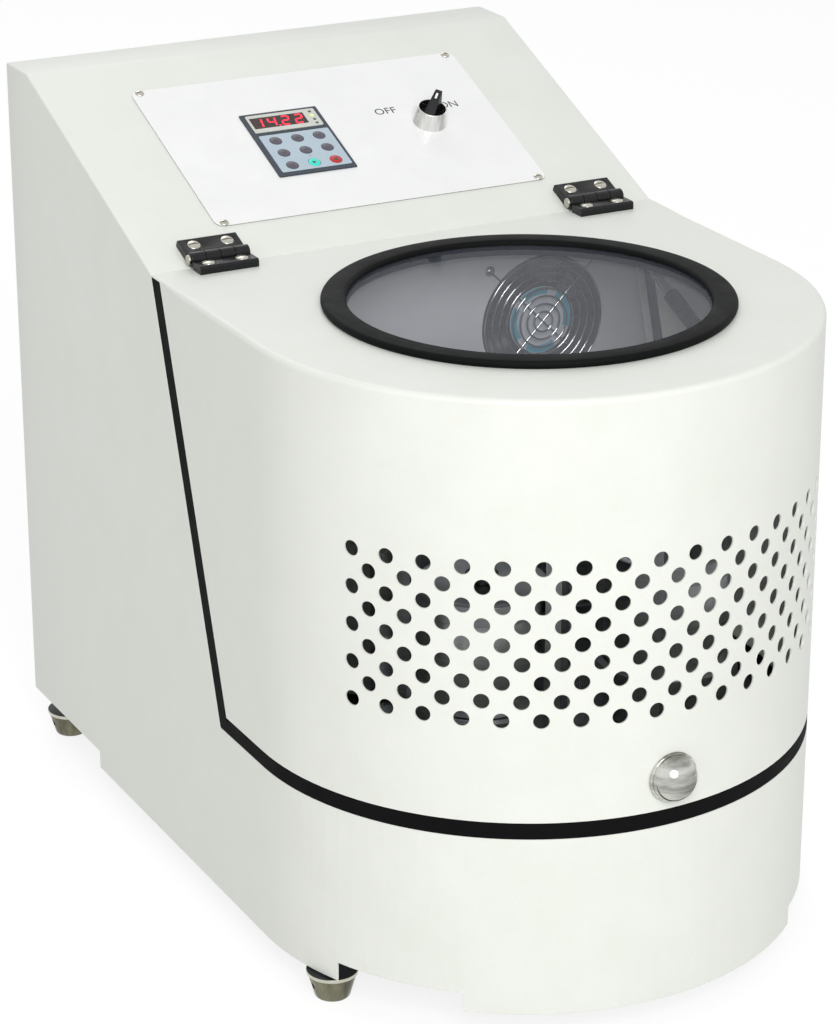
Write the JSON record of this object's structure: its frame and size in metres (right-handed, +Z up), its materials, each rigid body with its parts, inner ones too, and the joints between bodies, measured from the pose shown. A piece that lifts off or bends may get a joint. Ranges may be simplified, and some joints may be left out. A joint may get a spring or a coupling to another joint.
{
  "type": "planetary ball mill",
  "caption": "Bench planetary ball mill: perforated half-round hood with a round window on a rear hinge, sloped keypad console, belt-driven turntable with geared jar stations.",
  "frame": {"origin": "centre of the cabinet's footprint on the surface it stands on, within 6 mm of the centre of the whole outline", "axes": "+X to the operator's right, +Y to the back, +Z up; the hood's round front faces -Y"},
  "size_m": [0.47, 0.7715, 0.638],
  "materials": {
    "housing_paint": "fine textured off-white powder coat",
    "plate_paint": "smooth white printed plate",
    "galvanised": "zinc-plated sheet",
    "machined_steel": "turned and ground",
    "dark_steel": "dark polished steel",
    "stainless": "brushed stainless",
    "screw_steel": "bright plated screw",
    "chrome": "polished chrome",
    "black_rubber": "matte black rubber",
    "black_plastic": "matte black plastic",
    "smoked_acrylic": "clear smoked sheet",
    "motor_grey": "painted casting",
    "cast_hub": "machined casting",
    "gear_steel": "hardened gear steel",
    "aluminium": "turned aluminium",
    "keypad_slate": "slate plastic",
    "key_grey": "grey key",
    "key_teal": "turquoise key",
    "key_red": "red key",
    "display_dark": "dark red-brown window",
    "belt_rubber": "fabric-backed belt",
    "guard_wire": "bright wire",
    "rotor_grey": "blue-grey plastic"
  },
  "bodies": {
    "cabinet": {"cabinet_shell": "housing_paint", "rear_cover": "housing_paint", "power_inlet": "black_plastic", "base_pan": "galvanised", "levelling_feet": "dark_steel", "drive_deck": "machined_steel", "drive_bolts": "screw_steel", "bulkhead": "housing_paint", "hood_seal": "black_rubber", "hinge_fixed_leaves": "black_plastic", "housing_screws": "screw_steel", "fan_housing": "black_plastic", "fan_guard": "guard_wire", "control_plate": "plate_paint", "keypad_frame": "keypad_slate", "display_lens": "display_dark", "switch_bezel": "aluminium", "bearing_housing": "cast_hub", "main_bearings": "machined_steel", "sun_gear": "gear_steel", "drive_belt": "belt_rubber", "drive_motor": "motor_grey", "inverter_box": "black_plastic"},
    "hood": {"hood_shell": "housing_paint", "window_gasket": "black_rubber", "window_pane": "smoked_acrylic", "hood_knob": "chrome", "hinge_moving_leaves": "black_plastic", "hinge_hood_screws": "screw_steel"},
    "strut_tube": {"strut_cylinder": "dark_steel"},
    "strut_piston": {"strut_rod": "chrome"},
    "rotor_table": {"turntable": "aluminium", "planet_bearings": "machined_steel", "main_shaft": "machined_steel", "driven_pulley": "cast_hub"},
    "motor_spindle": {"motor_shaft": "machined_steel", "drive_pulley": "cast_hub"},
    "extract_fan": {"fan_rotor": "rotor_grey"},
    "selector": {"selector_knob": "black_plastic"},
    "key_1": {"keypad_key_1": "key_grey"},
    "key_2": {"keypad_key_2": "key_grey"},
    "key_3": {"keypad_key_3": "key_grey"},
    "key_4": {"keypad_key_4": "key_grey"},
    "key_5": {"keypad_key_5": "key_grey"},
    "key_6": {"keypad_key_6": "key_grey"},
    "key_7": {"keypad_key_7": "key_grey"},
    "key_8": {"keypad_key_8": "key_teal"},
    "key_9": {"keypad_key_9": "key_red"},
    "planet_1": {"jar_holder_1": "aluminium", "grinding_jar_1": "stainless"},
    "clamp_1": {"clamp_screw_1": "machined_steel"},
    "planet_2": {"jar_holder_2": "aluminium", "grinding_jar_2": "stainless"},
    "clamp_2": {"clamp_screw_2": "machined_steel"},
    "planet_3": {"jar_holder_3": "aluminium", "grinding_jar_3": "stainless"},
    "clamp_3": {"clamp_screw_3": "machined_steel"},
    "planet_4": {"jar_holder_4": "aluminium", "grinding_jar_4": "stainless"},
    "clamp_4": {"clamp_screw_4": "machined_steel"}
  },
  "joints": [
    {"name": "hood_hinge", "type": "hinge", "parent": "cabinet", "child": "hood", "pos_m": [0, 0.0625, 0.5385], "axis": [-1, 0, 0], "range_deg": [0, 60]},
    {"name": "strut_pivot", "type": "hinge", "parent": "cabinet", "child": "strut_piston", "pos_m": [0.201, 0.03, 0.502], "axis": [-1, 0, 0], "range_deg": [0, 68.83]},
    {"name": "strut_stroke", "type": "slide", "parent": "strut_piston", "child": "strut_tube", "axis": [0, -0.9168, -0.3994], "range_m": [0, 0.04247]},
    {"name": "table_spin", "type": "hinge", "parent": "cabinet", "child": "rotor_table", "pos_m": [0, -0.1365, 0.19], "axis": [0, 0, 1], "continuous": true},
    {"name": "motor_spin", "type": "hinge", "parent": "cabinet", "child": "motor_spindle", "pos_m": [0, 0.205, 0.2], "axis": [0, 0, 1], "continuous": true},
    {"name": "fan_spin", "type": "hinge", "parent": "cabinet", "child": "extract_fan", "pos_m": [0.128, 0.08, 0.437], "axis": [0, -1, 0], "continuous": true},
    {"name": "selector_turn", "type": "hinge", "parent": "cabinet", "child": "selector", "pos_m": [0.089, 0.19146, 0.59503], "axis": [0, -0.3784, 0.9256], "range_deg": [0, 90]},
    {"name": "key_1_press", "type": "slide", "parent": "cabinet", "child": "key_1", "axis": [0, 0.3784, -0.9256], "range_m": [0, 0.0005], "stiffness_N_per_m": 400},
    {"name": "key_2_press", "type": "slide", "parent": "cabinet", "child": "key_2", "axis": [0, 0.3784, -0.9256], "range_m": [0, 0.0005], "stiffness_N_per_m": 400},
    {"name": "key_3_press", "type": "slide", "parent": "cabinet", "child": "key_3", "axis": [0, 0.3784, -0.9256], "range_m": [0, 0.0005], "stiffness_N_per_m": 400},
    {"name": "key_4_press", "type": "slide", "parent": "cabinet", "child": "key_4", "axis": [0, 0.3784, -0.9256], "range_m": [0, 0.0005], "stiffness_N_per_m": 400},
    {"name": "key_5_press", "type": "slide", "parent": "cabinet", "child": "key_5", "axis": [0, 0.3784, -0.9256], "range_m": [0, 0.0005], "stiffness_N_per_m": 400},
    {"name": "key_6_press", "type": "slide", "parent": "cabinet", "child": "key_6", "axis": [0, 0.3784, -0.9256], "range_m": [0, 0.0005], "stiffness_N_per_m": 400},
    {"name": "key_7_press", "type": "slide", "parent": "cabinet", "child": "key_7", "axis": [0, 0.3784, -0.9256], "range_m": [0, 0.0005], "stiffness_N_per_m": 400},
    {"name": "key_8_press", "type": "slide", "parent": "cabinet", "child": "key_8", "axis": [0, 0.3784, -0.9256], "range_m": [0, 0.0005], "stiffness_N_per_m": 400},
    {"name": "key_9_press", "type": "slide", "parent": "cabinet", "child": "key_9", "axis": [0, 0.3784, -0.9256], "range_m": [0, 0.0005], "stiffness_N_per_m": 400},
    {"name": "planet_1_spin", "type": "hinge", "parent": "rotor_table", "child": "planet_1", "pos_m": [0.08485, -0.05165, 0.25], "axis": [0, 0, 1], "continuous": true},
    {"name": "clamp_1_turn", "type": "hinge", "parent": "planet_1", "child": "clamp_1", "pos_m": [0.08485, -0.05165, 0.38], "axis": [0, 0, 1], "range_deg": [0, 720]},
    {"name": "planet_2_spin", "type": "hinge", "parent": "rotor_table", "child": "planet_2", "pos_m": [-0.08485, -0.05165, 0.25], "axis": [0, 0, 1], "continuous": true},
    {"name": "clamp_2_turn", "type": "hinge", "parent": "planet_2", "child": "clamp_2", "pos_m": [-0.08485, -0.05165, 0.38], "axis": [0, 0, 1], "range_deg": [0, 720]},
    {"name": "planet_3_spin", "type": "hinge", "parent": "rotor_table", "child": "planet_3", "pos_m": [-0.08485, -0.22135, 0.25], "axis": [0, 0, 1], "continuous": true},
    {"name": "clamp_3_turn", "type": "hinge", "parent": "planet_3", "child": "clamp_3", "pos_m": [-0.08485, -0.22135, 0.38], "axis": [0, 0, 1], "range_deg": [0, 720]},
    {"name": "planet_4_spin", "type": "hinge", "parent": "rotor_table", "child": "planet_4", "pos_m": [0.08485, -0.22135, 0.25], "axis": [0, 0, 1], "continuous": true},
    {"name": "clamp_4_turn", "type": "hinge", "parent": "planet_4", "child": "clamp_4", "pos_m": [0.08485, -0.22135, 0.38], "axis": [0, 0, 1], "range_deg": [0, 720]}
  ],
  "couplings": [
    {"joint": "strut_pivot", "follows": "hood_hinge", "ratio": 1.1388},
    {"joint": "strut_stroke", "follows": "hood_hinge", "m_per_rad": 0.040083},
    {"joint": "motor_spin", "follows": "table_spin", "ratio": 1.3333},
    {"joint": "planet_1_spin", "follows": "table_spin", "ratio": 2},
    {"joint": "planet_2_spin", "follows": "table_spin", "ratio": 2},
    {"joint": "planet_3_spin", "follows": "table_spin", "ratio": 2},
    {"joint": "planet_4_spin", "follows": "table_spin", "ratio": 2}
  ]
}
